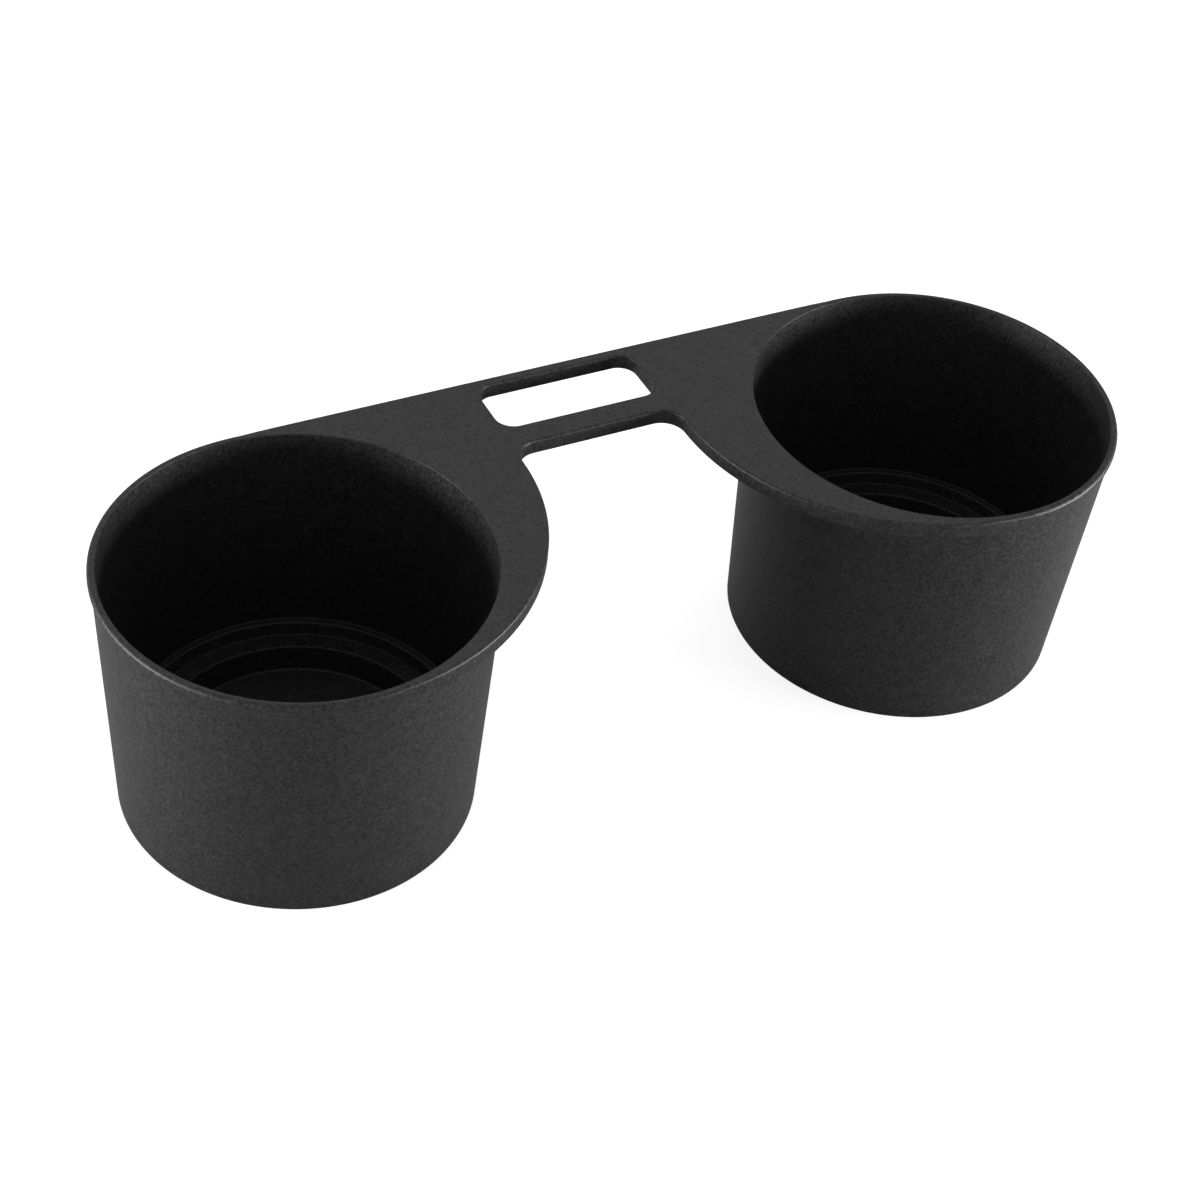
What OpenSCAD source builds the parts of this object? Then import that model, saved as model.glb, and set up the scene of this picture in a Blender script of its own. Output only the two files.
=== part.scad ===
// Twin cup holder for a car console, moulded in one piece.
// Millimetres. +X along the length, +Y to the straight back edge, +Z up.
// The origin is on the foot plane, midway between the two cup axes.

/* [Cups] */
// Distance between the two cup axes
cup_spacing = 148.8; // [136:0.2:170]
// Radius of a cup's mouth at the top face
mouth_r = 40; // [37:0.5:43]
// Height from the foot to the top face
cup_h = 61; // [50:0.5:75]
// Wall thickness just under the top face
wall_t = 1.1; // [1:0.1:1.6]
// Draft of the outside of the wall, in degrees
outer_draft = 2.7; // [1.5:0.05:3.5]
// Draft of the inside of the wall, in degrees
inner_draft = 3.45; // [2.5:0.05:4.5]
// Rounding of the mouth's inner edge
mouth_round = 0.3; // [0.2:0.05:0.6]
// Rounding of the foot's outer edge
foot_round = 0.3; // [0.2:0.1:1]

/* [Stepped seat] */
// Height of the floor above the foot
floor_h = 3.3; // [2.6:0.1:4.5]
// Horizontal run of the sloping side of the round recess
recess_run = 1.4; // [0.6:0.1:2.2]
// Height of the shelf round the recess
shelf_h = 8.8; // [7:0.1:10]
// Width of the shelf
shelf_w = 4; // [2.5:0.1:6]
// Horizontal run of the slope between the shelf and the ledge
ledge_run = 0.9; // [0.4:0.1:1.6]
// Height of the narrow ledge at the foot of the wall
ledge_h = 11.5; // [10.6:0.1:14]
// Width of the ledge
ledge_w = 1.5; // [0.8:0.1:2.2]
// Rounding of the steps' upper edges
step_round = 0.4; // [0.2:0.05:0.6]

/* [Underside] */
// Thickness of the floor and of the shelf
base_t = 2; // [1.6:0.1:2.4]
// Thickness of the recess's side wall
recess_wall_t = 1.8; // [1.4:0.1:2.2]
// Width of the foot ring that the cup stands on
foot_w = 2; // [1.6:0.1:2.6]
// Taper of the groove's outer side, so that the mould's core draws
groove_taper = 0.2; // [0.1:0.05:0.4]

/* [Rim and flange] */
// How far the rim reaches past the outside of the wall
rim_w = 0.5; // [0.4:0.1:1.7]
// Height of the rim's round bead
rim_t = 2.3; // [2.2:0.1:3]
// Thickness of the flange
flange_t = 3.6; // [3:0.1:4.5]
// Rounding of the bead's edges
rim_round = 1; // [0.6:0.05:1]
// Rounding of the flange's upper edges
edge_round = 0.9; // [0.4:0.05:0.95]
// Rounding of the flange's lower edges
low_round = 0.4; // [0.2:0.05:0.8]
// How far inside the rim's outermost line the straight back edge lies
back_in = 0.1; // [0.1:0.1:0.9]
// How far behind the cup's axis the flange's arc has its centre
arc_back = 12.5; // [9:0.2:16]
// How far inwards of the cup's axis the flange's arc has its centre
arc_in = 1.4; // [0.6:0.1:3]
// How far the flange's arc cuts inside the rim at the front of the cup
arc_cross = 0.3; // [0.2:0.05:0.4]
// Fillet where the flange's arc meets the bridge
notch_r = 5; // [3:0.5:7]

/* [Slot in the bridge] */
// Length of the slot
slot_l = 37.8; // [26:0.2:44]
// Width of the slot
slot_w = 14.8; // [10:0.2:17]
// Radius of the slot's corners
slot_corner_r = 4; // [1.5:0.1:5]
// Rounding of the slot's upper edge
slot_round = 0.8; // [0.3:0.05:1]
// Width of the bar behind the slot
back_bar_w = 2.5; // [2.4:0.1:6]
// Width of the bar in front of the slot
front_bar_w = 6.1; // [4:0.1:9]

/* [Hidden] */
$fn = 160;
// How far a cutting shape runs past the face that it opens
cut = 2;
// How far two outlines that blend cross each other, so that they meet at a true point
blend_cross = 0.005;

// Half the distance between the cups' axes
half_spacing = cup_spacing / 2;
// Radius at which the inside of the wall meets the mouth's rounding
bore_top_r = mouth_r - mouth_round;
// Radius at which the outside of the wall meets the top face
wall_top_r = bore_top_r + wall_t;
// Outer radius of the rim
rim_r = wall_top_r + rim_w;

// Radii of the wall's two sides at a height above the foot
function outer_r(z) = wall_top_r - (cup_h - z) * tan(outer_draft);
function inner_r(z) = bore_top_r - (cup_h - mouth_round - z) * tan(inner_draft);

// Radii of the stepped seat, from the wall inwards
ledge_in_r = inner_r(ledge_h) - ledge_w;
shelf_out_r = ledge_in_r - ledge_run;
shelf_in_r = shelf_out_r - shelf_w;
recess_r = shelf_in_r - recess_run;

// Heights and radii of the hollow under the floor
hollow_h = floor_h - base_t;
groove_h = shelf_h - base_t;
foot_in_r = outer_r(0) - foot_w;
recess_slope = recess_run / (shelf_h - floor_h);
function groove_in_r(z) = recess_r + (z - floor_h) * recess_slope + recess_wall_t;

// Plan of the flange
back_y = rim_r - back_in;
bridge_front = back_y - back_bar_w - slot_w - front_bar_w;
slot_y = back_y - back_bar_w - slot_w / 2;
arc_x = half_spacing - arc_in;
arc_r = rim_r + norm([arc_in, arc_back]) - arc_cross;
flange_low = cup_h - flange_t;
// How far the flange's inner pieces reach into the bridge, past its rounded front edge
overlap = 2 * edge_round;
// Centre of the fillet in the notch's corner
notch_y = bridge_front - notch_r + blend_cross;
notch_gap = arc_r + notch_r - blend_cross;
notch_x = arc_x - sqrt(pow(notch_gap, 2) - pow(notch_y - arc_back, 2));
// Point inside the arc, in line with the fillet's centre and the arc's
behind = 2 * notch_r / notch_gap;
behind_x = notch_x + (arc_x - notch_x) * behind;
behind_y = notch_y + (arc_back - notch_y) * behind;
// Half the lengths of the slot's straight sides
slot_half_l = slot_l / 2 - slot_corner_r;
slot_half_w = slot_w / 2 - slot_corner_r;

// Both cups, from one that is drawn on the Z axis
module at_both_cups() {
  for (side = [-1, 1]) translate([side * half_spacing, 0, 0]) children();
}

// What turns a square outer corner at [0, 0] into a round one of radius r
module corner_cutter(r) {
  difference() {
    translate([-r, -r]) square(r + cut);
    translate([-r, -r]) circle(r);
  }
}

// What rounds the upper edge of a step that slopes up from foot to brow
module step_easing(foot, brow) {
  slope = atan2(brow.y - foot.y, brow.x - foot.x);
  reach = step_round * tan(slope / 2);
  centre = [brow.x + reach, brow.y - step_round];
  difference() {
    polygon([brow, [centre.x, brow.y], centre, brow - reach * [cos(slope), sin(slope)]]);
    translate(centre) circle(step_round);
  }
}

// Section of a plate from one distance to another, with its outer edges rounded
module plate_section(from, to, low, upper_round, lower_round) {
  difference() {
    translate([from, low]) square([to - from, cup_h - low]);
    translate([to, cup_h]) corner_cutter(upper_round);
    translate([to, low]) mirror([0, 1]) corner_cutter(lower_round);
  }
}

// Section of the cup's outside, solid to its axis
module outside_section() {
  polygon([
    [0, 0],
    [outer_r(0) - foot_round, 0],
    [outer_r(foot_round), foot_round],
    [wall_top_r, cup_h],
    [0, cup_h]
  ]);
  plate_section(bore_top_r, rim_r, cup_h - rim_t, rim_round, rim_round);
}

// Section of the cup's inside, with its steps, open at the top
module inside_section() {
  polygon([
    [0, floor_h],
    [recess_r, floor_h],
    [shelf_in_r, shelf_h],
    [shelf_out_r, shelf_h],
    [ledge_in_r, ledge_h],
    [inner_r(ledge_h), ledge_h],
    [bore_top_r, cup_h - mouth_round],
    [bore_top_r, cup_h + cut],
    [0, cup_h + cut]
  ]);
  step_easing([recess_r, floor_h], [shelf_in_r, shelf_h]);
  step_easing([shelf_out_r, shelf_h], [ledge_in_r, ledge_h]);
}

// Section of the hollow under the floor: a shallow dish and the groove round it
module underside_section() {
  polygon([
    [0, -cut],
    [foot_in_r, -cut],
    [foot_in_r, 0],
    [foot_in_r - groove_taper, groove_h],
    [groove_in_r(groove_h), groove_h],
    [groove_in_r(hollow_h), hollow_h],
    [0, hollow_h]
  ]);
}

// What a plan on the left side of the middle takes out of the flange's height
module left_column(plan) {
  translate([0, 0, flange_low - cut]) linear_extrude(flange_t + 2 * cut) polygon(plan);
}

// Disc behind the left arc, between the cup's axis, the cup's front and the bridge
module arc_plate() {
  intersection() {
    translate([-arc_x, arc_back]) rotate_extrude() plate_section(0, arc_r, flange_low, edge_round, low_round);
    left_column([
      [-half_spacing, 0],
      [-half_spacing - arc_in * arc_r / arc_back, -arc_r],
      [0, -arc_r],
      [0, bridge_front + overlap],
      [-half_spacing, bridge_front + overlap]
    ]);
  }
}

// Filleted corner between the left arc and the bridge
module notch_corner() {
  intersection() {
    translate([-notch_x, notch_y]) rotate_extrude() mirror([1, 0])
      plate_section(-3 * notch_r, -notch_r, flange_low, edge_round, low_round);
    left_column([
      [-notch_x, notch_y],
      [-notch_x, bridge_front + overlap],
      [-behind_x, bridge_front + overlap],
      [-behind_x, behind_y]
    ]);
  }
}

// The flange's pieces between the left cup and the bridge
module left_inner_plates() {
  arc_plate();
  notch_corner();
}

// Bar with rounded long edges, from one cup's axis to the other's
module bridge() {
  middle = (bridge_front + back_y) / 2;
  rotate([90, 0, 90]) linear_extrude(2 * half_spacing, center = true) {
    plate_section(middle, back_y, flange_low, edge_round, low_round);
    translate([2 * middle, 0]) mirror([1, 0]) plate_section(middle, back_y, flange_low, edge_round, low_round);
  }
}

// Half of the slot's section, from its middle out, with the rounding of its upper edge
module slot_section(reach) {
  translate([0, flange_low - cut]) square([reach, flange_t + 2 * cut]);
  difference() {
    translate([0, cup_h - slot_round]) square([reach + slot_round, slot_round + cut]);
    translate([reach + slot_round, cup_h - slot_round]) circle(slot_round);
  }
}

// The slot, as the shape that is cut out of the bridge
module slot() {
  translate([0, slot_y, 0]) {
    rotate([90, 0, 90]) linear_extrude(2 * slot_half_l, center = true) {
      slot_section(slot_w / 2);
      mirror([1, 0]) slot_section(slot_w / 2);
    }
    rotate([90, 0, 0]) linear_extrude(2 * slot_half_w, center = true) {
      slot_section(slot_l / 2);
      mirror([1, 0]) slot_section(slot_l / 2);
    }
    for (x = [-1, 1], y = [-1, 1]) translate([x * slot_half_l, y * slot_half_w, 0])
      rotate_extrude() slot_section(slot_corner_r + blend_cross);
  }
}

// The flange and its bridge, with the slot through the bridge
module flange() {
  difference() {
    union() {
      bridge();
      left_inner_plates();
      mirror([1, 0, 0]) left_inner_plates();
    }
    slot();
  }
}

// The whole moulding
module cup_holder() {
  color([0.17, 0.17, 0.18]) difference() {
    union() {
      flange();
      at_both_cups() rotate_extrude() outside_section();
    }
    at_both_cups() rotate_extrude() inside_section();
    at_both_cups() rotate_extrude() underside_section();
    at_both_cups() rotate_extrude() translate([bore_top_r, cup_h]) mirror([1, 0]) corner_cutter(mouth_round);
  }
}

cup_holder();
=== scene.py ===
import math

import bmesh
import bpy
from mathutils import Matrix, Vector


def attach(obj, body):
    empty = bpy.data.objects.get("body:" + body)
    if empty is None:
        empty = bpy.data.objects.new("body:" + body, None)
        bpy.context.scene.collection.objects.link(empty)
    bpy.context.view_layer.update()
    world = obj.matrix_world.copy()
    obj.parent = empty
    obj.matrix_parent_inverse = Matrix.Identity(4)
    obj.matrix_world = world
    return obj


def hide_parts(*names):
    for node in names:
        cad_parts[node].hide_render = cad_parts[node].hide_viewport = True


# Twin cup holder for a car console: the moulding with its true edges, its finish and a plain studio.
# +X runs along the part and +Z is up. Lengths are in millimetres, but those of the studio are in metres.
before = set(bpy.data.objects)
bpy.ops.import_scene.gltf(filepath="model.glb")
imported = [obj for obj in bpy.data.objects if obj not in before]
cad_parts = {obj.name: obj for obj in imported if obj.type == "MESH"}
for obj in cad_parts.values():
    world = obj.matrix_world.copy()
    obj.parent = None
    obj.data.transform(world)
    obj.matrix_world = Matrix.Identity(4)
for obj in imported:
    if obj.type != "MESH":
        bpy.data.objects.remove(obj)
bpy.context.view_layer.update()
MM = 0.001

# Camera, at the photograph's viewing angle: its place, the point it aims at, and its roll in degrees
CAMERA_PLACE = (-210.03, -338.88, 383.42)
CAMERA_AIM = (-6.057, -2.515, 30.0)
CAMERA_ROLL = 6.80
CAMERA_LENS = 73.55
CAMERA_NEAR = 10.0

# Cups
HALF_SPACING = 74.4
TOP = 61.0
MOUTH_R = 40.0
MOUTH_ROUND = 0.3
WALL_T = 1.1
OUTER_DRAFT = 2.7
INNER_DRAFT = 3.45

# Stepped seat inside each cup: heights above the foot, and radii
FLOOR_H = 3.3
SHELF_H = 8.8
LEDGE_H = 11.5
RECESS_R = 28.9
SHELF_IN_R = 30.3
SHELF_OUT_R = 34.3
LEDGE_IN_R = 35.2
# Roundings of the steps' edges and of the corners that they stand in
STEP_ROUND = 0.5
STEP_FILLET = 0.3
FLOOR_FILLET = 0.6

# Underside of each cup: the foot ring, the groove inside it and the dish in the middle
FOOT_W = 2.0
FOOT_ROUND = 0.3
GROOVE_H = 6.8
GROOVE_TAPER = 0.2
GROOVE_FILLET = 0.5
RECESS_WALL_T = 1.8
DISH_H = 1.3
DISH_ROUND = 0.4

# Rim and flange
RIM_R = 41.3
RIM_T = 2.3
RIM_ROUND = 1.0
FLANGE_T = 3.6
EDGE_ROUND = 0.7
LOW_ROUND = 0.4
BACK_ROUND = 0.5
# How far round the rim's lower rounding turns before it meets the wall, in degrees
RIM_TURN = 45.0
# Fillet under the rim and the flange: how far it stands out of the wall, and how far down
LIP_FILLET = ((0.15, 0.0), (0.08, 0.3), (0.03, 0.7), (0.0, 1.2))
# How far under the flange the plain wall starts
LIP_REACH = 1.4
# Straight back edge, and how near it a plan point counts as on it
BACK_Y = 41.2
BACK_NEAR = 0.01
# The flange's arc beside each cup, and its fillet into the bridge
ARC_X = 73.0
ARC_Y = 12.5
ARC_R = 53.58
NOTCH_R = 5.0
BRIDGE_FRONT = 17.8
# Length over which the flange's edge runs out into the rim, and how far past the cup's axis it ends
RUN_OUT = 14.0
RUN_OUT_END = 4.0

# Slot in the bridge
SLOT_L = 37.8
SLOT_FRONT = 23.9
SLOT_BACK = 38.7
SLOT_CORNER = 4.0
SLOT_ROUND = 0.6

# Fineness of the mesh: steps in degrees on wide arcs and on fillets, and in millimetres on lines
ARC_STEP = 1.5
FILLET_STEP = 5.0
LINE_STEP = 4.0
ROUND_STEPS = 6
# Width of the flat strip that borders each rounding, so that flat faces stay flat when shaded
FLAT_MARGIN = 0.1

# Plastic: noise in features per metre, and the range that most noise values lie in
GRAIN_SCALE = 1300.0
GRAIN_DETAIL = 2.0
MOTTLE_SCALE = 300.0
MOTTLE_DETAIL = 3.0
MOTTLE_RANGE = (-0.05, 0.05)
NOISE_RANGE = (0.3, 0.7)
# Its tones, and where on the noise the dark and the pale one lie
TONE_DARK = (0.008, 0.008, 0.0083)
TONE_PALE = (0.018, 0.018, 0.0186)
TONE_PLACES = (0.25, 0.75)
# Its convex edges, which get a paler tone: their tone, how much of it they take, and the pointiness that
# counts as an edge
TONE_EDGE_PALE = (0.05, 0.05, 0.051)
EDGE_PALENESS = 0.15
EDGE_POINTINESS = (0.54, 0.68)
# Its gloss and the depth of its grain
ROUGHNESS = (0.4, 0.54)
SPECULAR = (0.22, 0.42)
GRAIN_DEPTH = 0.1
GRAIN_STRENGTH = 0.6
# Sockets of a mix node that hold its two colours and its result
MIX_FIRST = 6
MIX_SECOND = 7
MIX_RESULT = 2

# Floor, in metres, and its finish
FLOOR_HALF = 3.0
FLOOR_TONE = (0.55, 0.55, 0.55)
FLOOR_ROUGHNESS = 0.9
# Extra brightness of the floor for the camera alone, which makes it white and leaves a faint shadow
FLOOR_LIFT = 0.76
# Strength of the room's light on the part, where 1 is the white that the camera sees
ROOM_LIGHT = 0.5
WHITE = (1.0, 1.0, 1.0, 1.0)
# Lamps: place, aim and size in metres, and power in watts
LAMPS = {
    "overhead": ((0.15, 0.65, 1.05), (0.0, 0.0, 0.05), (1.3, 1.0), 3.8),
    "left": ((-1.0, 0.15, 0.09), (-0.07, 0.0, 0.03), (0.8, 0.17), 16.0),
    "right": ((0.95, -0.65, 0.1), (0.0, 0.0, 0.03), (0.8, 0.18), 23.0),
}


def make_camera():
    """The photograph's camera: it aims at a point near the part's middle and is rolled a little."""
    place = Vector(CAMERA_PLACE) * MM
    aim = Vector(CAMERA_AIM) * MM
    camera = bpy.data.objects.new("camera", bpy.data.cameras.new("camera"))
    bpy.context.scene.collection.objects.link(camera)
    level = (aim - place).to_track_quat("-Z", "Y").to_matrix().to_4x4()
    roll = Matrix.Rotation(math.radians(CAMERA_ROLL), 4, "Z")
    camera.matrix_world = Matrix.Translation(place) @ level @ roll
    camera.data.lens = CAMERA_LENS
    camera.data.clip_start = CAMERA_NEAR * MM
    bpy.context.scene.camera = camera


def arc(centre, radius, start, end, step):
    """Plan points of an arc from one angle to another, in degrees, without its last point."""
    count = max(2, round(abs(end - start) / step))
    angles = [math.radians(start + (end - start) * i / count) for i in range(count)]
    return [Vector((centre[0] + radius * math.cos(a), centre[1] + radius * math.sin(a))) for a in angles]


def line(start, end):
    """Plan points of a straight line, without its last point."""
    start, end = Vector(start), Vector(end)
    count = max(1, round((end - start).length / LINE_STEP))
    return [start.lerp(end, i / count) for i in range(count)]


def bearing(centre, point):
    """Angle, in degrees, at which a plan point is seen from a centre."""
    return math.degrees(math.atan2(point[1] - centre[1], point[0] - centre[0]))


def circles_meet(centre_a, radius_a, centre_b, radius_b):
    """The two plan points where circles cross, the one to the left of the line a to b first."""
    a, b = Vector(centre_a), Vector(centre_b)
    apart = (b - a).length
    along = (apart ** 2 + radius_a ** 2 - radius_b ** 2) / (2 * apart)
    aside = math.sqrt(radius_a ** 2 - along ** 2)
    ahead = (b - a) / apart
    left = Vector((-ahead.y, ahead.x))
    return a + ahead * along + left * aside, a + ahead * along - left * aside


def flange_outline():
    """Plan outline of the part, counterclockwise, starting in the middle of the back edge."""
    cup = (-HALF_SPACING, 0.0)
    arc_centre = (-ARC_X, ARC_Y)
    notch_y = BRIDGE_FRONT - NOTCH_R
    notch_x = -ARC_X + math.sqrt((ARC_R + NOTCH_R) ** 2 - (notch_y - ARC_Y) ** 2)
    notch = (notch_x, notch_y)
    back_corner = (-HALF_SPACING + math.sqrt(RIM_R ** 2 - BACK_Y ** 2), BACK_Y)
    front_corner = max(circles_meet(cup, RIM_R, arc_centre, ARC_R), key=lambda p: p.x)
    left = line((0.0, BACK_Y), back_corner)
    left += arc(cup, RIM_R, bearing(cup, back_corner), bearing(cup, front_corner) + 360.0, ARC_STEP)
    left += arc(
        arc_centre, ARC_R, bearing(arc_centre, front_corner), bearing(arc_centre, notch), ARC_STEP)
    left += arc(notch, NOTCH_R, bearing(notch, arc_centre) % 360.0, 90.0, FILLET_STEP)
    left += line((notch_x, BRIDGE_FRONT), (0.0, BRIDGE_FRONT))
    right = [Vector((-p.x, p.y)) for p in reversed(left[1:])]
    return left + [Vector((0.0, BRIDGE_FRONT))] + right


def slot_outline():
    """Plan outline of the slot, counterclockwise."""
    x = SLOT_L / 2 - SLOT_CORNER
    y_back = SLOT_BACK - SLOT_CORNER
    y_front = SLOT_FRONT + SLOT_CORNER
    corners = ((x, y_back, 0.0), (-x, y_back, 90.0), (-x, y_front, 180.0), (x, y_front, 270.0))
    points = []
    for cx, cy, start in corners:
        points += arc((cx, cy), SLOT_CORNER, start, start + 90.0, FILLET_STEP)
        end = math.radians(start + 90.0)
        points.append(Vector((cx + SLOT_CORNER * math.cos(end), cy + SLOT_CORNER * math.sin(end))))
    return points


def outward(points):
    """Unit normals of a closed counterclockwise outline, pointing out of what it encloses."""
    normals = []
    for i, point in enumerate(points):
        before, after = points[i - 1], points[(i + 1) % len(points)]
        ahead = (point - before).normalized() + (after - point).normalized()
        ahead.normalize()
        normals.append(Vector((ahead.y, -ahead.x)))
    return normals


def smooth_step(value):
    """Rises from 0 to 1 as the value does, with a gentle start and end."""
    value = min(1.0, max(0.0, value))
    return value * value * (3.0 - 2.0 * value)


def run_out(point):
    """0 where a plan point's edge is the flange's, rising to 1 where it is the rim's bead."""
    side = -1.0 if point.x < 0.0 else 1.0
    past_axis = side * point.x - HALF_SPACING
    return smooth_step((past_axis + RUN_OUT - RUN_OUT_END) / RUN_OUT)


def edge_thickness(point):
    """Thickness at a plan point: the flange's between the cups, and the rim's round each cup."""
    return FLANGE_T + (RIM_T - FLANGE_T) * run_out(point)


def flange_edge(point):
    """Section of the outer edge at a plan point: thickness, both roundings, and the lower one's turn."""
    to_rim = run_out(point)
    upper = BACK_ROUND if point.y > BACK_Y - BACK_NEAR else EDGE_ROUND
    return (
        edge_thickness(point),
        upper + (RIM_ROUND - upper) * to_rim,
        LOW_ROUND + (RIM_ROUND - LOW_ROUND) * to_rim,
        90.0 + (RIM_TURN - 90.0) * to_rim,
    )


def slot_edge(point):
    """Section of the slot's edge, the same at each plan point."""
    return FLANGE_T, SLOT_ROUND, LOW_ROUND, 90.0


def rounding(centre, radius, start, end):
    """Profile points of a rounding, both ends included, as (distance, height)."""
    return [
        (centre[0] + radius * math.cos(a), centre[1] + radius * math.sin(a))
        for a in (math.radians(start + (end - start) * i / ROUND_STEPS) for i in range(ROUND_STEPS + 1))
    ]


def rounded(corners):
    """Profile through corners given as (distance, height, rounding), as (distance, height) points."""
    points = [Vector((distance, height)) for distance, height, _ in corners]
    out = []
    for i, (distance, height, radius) in enumerate(corners):
        if radius == 0.0:
            out.append((distance, height))
            continue
        here = points[i]
        back = (points[i - 1] - here).normalized()
        ahead = (points[i + 1] - here).normalized()
        half = back.angle(ahead) / 2
        reach = radius / math.tan(half)
        centre = here + (back + ahead).normalized() * (radius / math.sin(half))
        first = here + back * reach - centre
        last = here + ahead * reach - centre
        turn = first.angle_signed(last)
        for k in range(ROUND_STEPS + 1):
            spin = Matrix.Rotation(-turn * k / ROUND_STEPS, 2)
            out.append(tuple(centre + spin @ first))
    return out


def outer_r(height):
    """Radius of a wall's outside at a height above the foot."""
    return MOUTH_R - MOUTH_ROUND + WALL_T - (TOP - height) * math.tan(math.radians(OUTER_DRAFT))


def inner_r(height):
    """Radius of a wall's inside at a height above the foot."""
    drop = TOP - MOUTH_ROUND - height
    return MOUTH_R - MOUTH_ROUND - drop * math.tan(math.radians(INNER_DRAFT))


def inside_profile():
    """A cup's inside from its mouth down to the floor's middle, as (radius, height)."""
    return rounded([
        (MOUTH_R + FLAT_MARGIN, TOP, 0.0),
        (MOUTH_R - MOUTH_ROUND, TOP, MOUTH_ROUND),
        (inner_r(LEDGE_H), LEDGE_H, STEP_FILLET),
        (LEDGE_IN_R, LEDGE_H, STEP_ROUND),
        (SHELF_OUT_R, SHELF_H, STEP_FILLET),
        (SHELF_IN_R, SHELF_H, STEP_ROUND),
        (RECESS_R, FLOOR_H, FLOOR_FILLET),
        (0.0, FLOOR_H, 0.0),
    ])


def underside_profile():
    """A cup's outside from below the flange to its foot, and under it to the middle."""
    wall_start = TOP - FLANGE_T - LIP_REACH
    foot_in_r = outer_r(0.0) - FOOT_W
    lean = (SHELF_IN_R - RECESS_R) / (SHELF_H - FLOOR_H)
    groove_top_r = RECESS_R + (GROOVE_H - FLOOR_H) * lean + RECESS_WALL_T
    groove_low_r = RECESS_R + (DISH_H - FLOOR_H) * lean + RECESS_WALL_T
    return rounded([
        (outer_r(wall_start), wall_start, 0.0),
        (outer_r(0.0), 0.0, FOOT_ROUND),
        (foot_in_r, 0.0, FOOT_ROUND),
        (foot_in_r - GROOVE_TAPER, GROOVE_H, GROOVE_FILLET),
        (groove_top_r, GROOVE_H, GROOVE_FILLET),
        (groove_low_r, DISH_H, DISH_ROUND),
        (0.0, DISH_H, 0.0),
    ])


class Moulding:
    """One closed mesh, made of rings of points that are joined into strips and sheets."""

    def __init__(self):
        self.bm = bmesh.new()

    def ring(self, points):
        """Vertices at points given in millimetres."""
        return [self.bm.verts.new(Vector(p) * MM) for p in points]

    def strip(self, ring_a, ring_b):
        """Faces between two rings of as many vertices."""
        for i in range(len(ring_a)):
            j = (i + 1) % len(ring_a)
            self.bm.faces.new((ring_a[i], ring_a[j], ring_b[j], ring_b[i]))

    def strips(self, rings):
        """Faces from each ring to the next."""
        for ring_a, ring_b in zip(rings, rings[1:]):
            self.strip(ring_a, ring_b)

    def fan(self, ring, height):
        """Closes a ring with a disc round its middle."""
        middle = sum((v.co for v in ring), Vector()) / len(ring)
        tip = self.bm.verts.new((middle.x, middle.y, height * MM))
        for i in range(len(ring)):
            self.bm.faces.new((ring[i], ring[(i + 1) % len(ring)], tip))

    def sheet(self, rings):
        """Fills the flat area between an outer ring and the rings inside it."""
        edges = []
        for ring in rings:
            for i in range(len(ring)):
                pair = (ring[i], ring[(i + 1) % len(ring)])
                edges.append(self.bm.edges.get(pair) or self.bm.edges.new(pair))
        bmesh.ops.triangle_fill(self.bm, edges=edges, use_beauty=True, normal=(0.0, 0.0, 1.0))

    def finish(self, name):
        """Turns the mesh into an object of the scene, shaded smooth."""
        bmesh.ops.recalc_face_normals(self.bm, faces=self.bm.faces)
        for face in self.bm.faces:
            face.smooth = True
        mesh = bpy.data.meshes.new(name)
        self.bm.to_mesh(mesh)
        self.bm.free()
        piece = bpy.data.objects.new(name, mesh)
        bpy.context.scene.collection.objects.link(piece)
        return piece


def circle_ring(moulding, side, radius, height):
    """A ring round a cup's axis. The height is a number, or a rule that takes a plan point."""
    centre = (side * HALF_SPACING, 0.0)
    points = arc(centre, radius, 0.0, 360.0, ARC_STEP)
    return moulding.ring([(p.x, p.y, height(p) if callable(height) else height) for p in points])


def profile_rings(moulding, side, profile):
    """Rings round a cup's axis down a profile, whose last point is on the axis and gets none."""
    return [circle_ring(moulding, side, radius, height) for radius, height in profile[:-1]]


def edge_rings(moulding, points, normals, section_at):
    """Rings down the rounded edge of a plate, from its top face to its bottom face."""
    sections = []
    for point, normal in zip(points, normals):
        thickness, upper, lower, turn = section_at(point)
        section = [(-upper - FLAT_MARGIN, TOP)] + rounding((-upper, TOP - upper), upper, 90.0, 0.0)
        section += rounding((-lower, TOP - thickness + lower), lower, 0.0, -turn)
        end_out, end_height = section[-1]
        lean = math.radians(turn)
        margin_end = (end_out - FLAT_MARGIN * math.sin(lean), end_height - FLAT_MARGIN * math.cos(lean))
        section.append(margin_end)
        sections.append([(point.x + normal.x * out, point.y + normal.y * out, z) for out, z in section])
    return [moulding.ring(ring) for ring in zip(*sections)]


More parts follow.
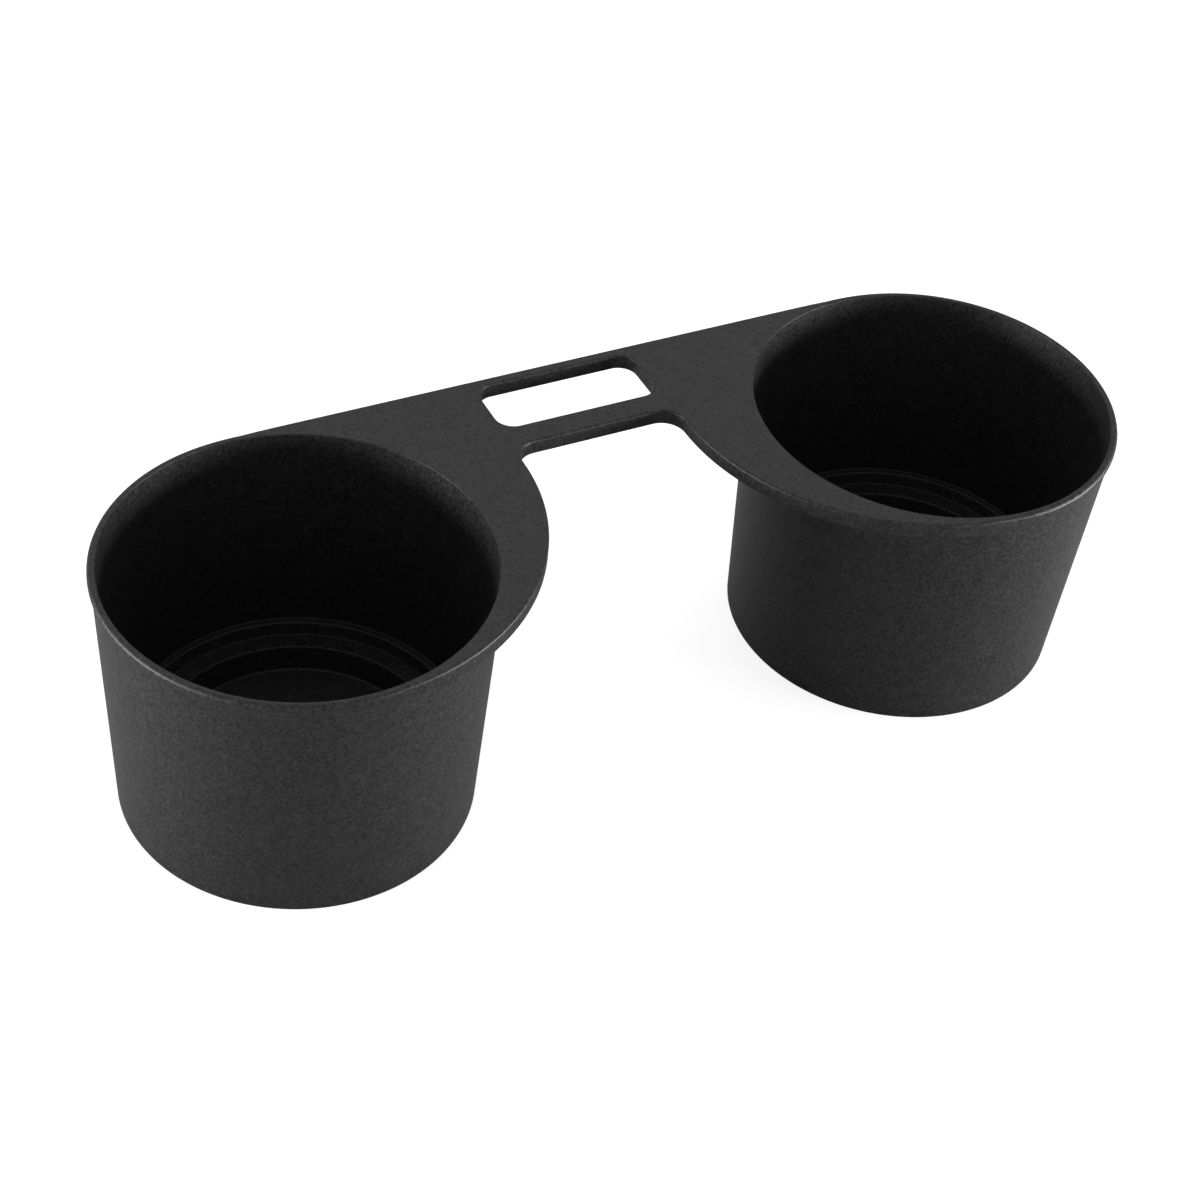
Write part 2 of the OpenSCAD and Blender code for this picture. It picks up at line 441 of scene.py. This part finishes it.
def make_cup_holder():
    """The whole moulding as one closed surface: the plate's edges, both cups, then the plate's faces."""
    moulding = Moulding()
    outline = flange_outline()
    flange = edge_rings(moulding, outline, outward(outline), flange_edge)
    moulding.strips(flange)
    slot = slot_outline()
    into_slot = [-n for n in outward(slot)]
    opening = edge_rings(moulding, slot, into_slot, slot_edge)
    moulding.strips(opening)
    mouths, wall_tops = [], []
    for side in (-1.0, 1.0):
        inside = profile_rings(moulding, side, inside_profile())
        moulding.strips(inside)
        moulding.fan(inside[-1], FLOOR_H)
        mouths.append(inside[0])
        outside = []
        for out, drop in LIP_FILLET:
            radius = outer_r(TOP - FLANGE_T - drop) + out
            outside.append(circle_ring(moulding, side, radius, lambda p: TOP - edge_thickness(p) - drop))
        outside += profile_rings(moulding, side, underside_profile())
        moulding.strips(outside)
        moulding.fan(outside[-1], DISH_H)
        wall_tops.append(outside[0])
    moulding.sheet([flange[0], opening[0]] + mouths)
    moulding.sheet([flange[-1], opening[-1]] + wall_tops)
    return moulding.finish("cup_holder_moulding")


def new_material(name):
    """A new material, with its nodes and links."""
    material = bpy.data.materials.new(name)
    material.use_nodes = True
    return material, material.node_tree.nodes, material.node_tree.links


def noise(nodes, links, coordinates, scale, detail):
    """A noise pattern laid over the part, in features of about one metre over its scale."""
    pattern = nodes.new("ShaderNodeTexNoise")
    pattern.inputs["Scale"].default_value = scale
    pattern.inputs["Detail"].default_value = detail
    links.new(coordinates.outputs["Object"], pattern.inputs["Vector"])
    return pattern.outputs["Fac"]


def spread(nodes, links, value, source, target):
    """A value spread from one range to another."""
    node = nodes.new("ShaderNodeMapRange")
    node.inputs["From Min"].default_value, node.inputs["From Max"].default_value = source
    node.inputs["To Min"].default_value, node.inputs["To Max"].default_value = target
    links.new(value, node.inputs["Value"])
    return node.outputs["Result"]


def plastic_material():
    """Black moulded plastic: a fine spark-eroded grain, a faint mottling and slightly paler convex
    edges.
    """
    material, nodes, links = new_material("black_plastic")
    shader = nodes["Principled BSDF"]
    coordinates = nodes.new("ShaderNodeTexCoord")
    grain = noise(nodes, links, coordinates, GRAIN_SCALE, GRAIN_DETAIL)
    mottle = noise(nodes, links, coordinates, MOTTLE_SCALE, MOTTLE_DETAIL)
    pattern = nodes.new("ShaderNodeMath")
    pattern.operation = "ADD"
    links.new(grain, pattern.inputs[0])
    links.new(spread(nodes, links, mottle, NOISE_RANGE, MOTTLE_RANGE), pattern.inputs[1])
    tone = nodes.new("ShaderNodeValToRGB")
    for element, place, color in zip(tone.color_ramp.elements, TONE_PLACES, (TONE_DARK, TONE_PALE)):
        element.position = place
        element.color = (*color, 1.0)
    links.new(pattern.outputs["Value"], tone.inputs["Fac"])
    # Convex edges, found by their pointiness, get some of a paler tone mixed in
    shape = nodes.new("ShaderNodeNewGeometry")
    paler_edges = nodes.new("ShaderNodeMix")
    paler_edges.data_type = "RGBA"
    edge_share = spread(nodes, links, shape.outputs["Pointiness"], EDGE_POINTINESS, (0.0, EDGE_PALENESS))
    links.new(edge_share, paler_edges.inputs["Factor"])
    links.new(tone.outputs["Color"], paler_edges.inputs[MIX_FIRST])
    paler_edges.inputs[MIX_SECOND].default_value = (*TONE_EDGE_PALE, 1.0)
    links.new(paler_edges.outputs[MIX_RESULT], shader.inputs["Base Color"])
    roughness = spread(nodes, links, pattern.outputs["Value"], NOISE_RANGE, ROUGHNESS)
    links.new(roughness, shader.inputs["Roughness"])
    specular = spread(nodes, links, pattern.outputs["Value"], NOISE_RANGE, SPECULAR)
    links.new(specular, shader.inputs["Specular IOR Level"])
    bump = nodes.new("ShaderNodeBump")
    bump.inputs["Strength"].default_value = GRAIN_STRENGTH
    bump.inputs["Distance"].default_value = GRAIN_DEPTH * MM
    links.new(grain, bump.inputs["Height"])
    links.new(bump.outputs["Normal"], shader.inputs["Normal"])
    return material


def make_floor():
    """A plain pale floor under the part, which the camera sees white and with the part's shadow."""
    half = FLOOR_HALF
    mesh = bpy.data.meshes.new("studio_floor")
    corners = [(-half, -half, 0.0), (half, -half, 0.0), (half, half, 0.0), (-half, half, 0.0)]
    mesh.from_pydata(corners, [], [(0, 1, 2, 3)])
    floor = bpy.data.objects.new("studio_floor", mesh)
    bpy.context.scene.collection.objects.link(floor)
    material, nodes, links = new_material("pale_floor")
    shader = nodes["Principled BSDF"]
    shader.inputs["Base Color"].default_value = (*FLOOR_TONE, 1.0)
    shader.inputs["Roughness"].default_value = FLOOR_ROUGHNESS
    shader.inputs["Specular IOR Level"].default_value = 0.0
    shader.inputs["Emission Color"].default_value = WHITE
    path = nodes.new("ShaderNodeLightPath")
    lift = nodes.new("ShaderNodeMath")
    lift.operation = "MULTIPLY"
    lift.inputs[1].default_value = FLOOR_LIFT
    links.new(path.outputs["Is Camera Ray"], lift.inputs[0])
    links.new(lift.outputs["Value"], shader.inputs["Emission Strength"])
    floor.data.materials.append(material)


def make_world():
    """A plain pale room: white to the camera, and a soft even light on the part."""
    world = bpy.data.worlds.new("studio")
    world.use_nodes = True
    nodes, links = world.node_tree.nodes, world.node_tree.links
    room = nodes["Background"]
    room.inputs["Color"].default_value = WHITE
    path = nodes.new("ShaderNodeLightPath")
    strength = nodes.new("ShaderNodeMath")
    strength.operation = "MULTIPLY_ADD"
    strength.inputs[1].default_value = 1.0 - ROOM_LIGHT
    strength.inputs[2].default_value = ROOM_LIGHT
    links.new(path.outputs["Is Camera Ray"], strength.inputs[0])
    links.new(strength.outputs["Value"], room.inputs["Strength"])
    bpy.context.scene.world = world


def area_light(name, place, aim, size, power):
    """A soft rectangular lamp at a place, turned to a point, in metres and watts."""
    lamp = bpy.data.lights.new(name, "AREA")
    lamp.shape = "RECTANGLE"
    lamp.size, lamp.size_y = size
    lamp.energy = power
    holder = bpy.data.objects.new(name, lamp)
    bpy.context.scene.collection.objects.link(holder)
    turn = (Vector(aim) - Vector(place)).to_track_quat("-Z", "Y").to_matrix().to_4x4()
    holder.matrix_world = Matrix.Translation(place) @ turn


make_camera()
bpy.context.scene.view_settings.view_transform = "Standard"
cup_holder = make_cup_holder()
cup_holder.data.materials.append(plastic_material())
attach(cup_holder, "root")
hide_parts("cup_holder")
make_floor()
make_world()
for lamp_name, (place, aim, size, power) in LAMPS.items():
    area_light(lamp_name, place, aim, size, power)
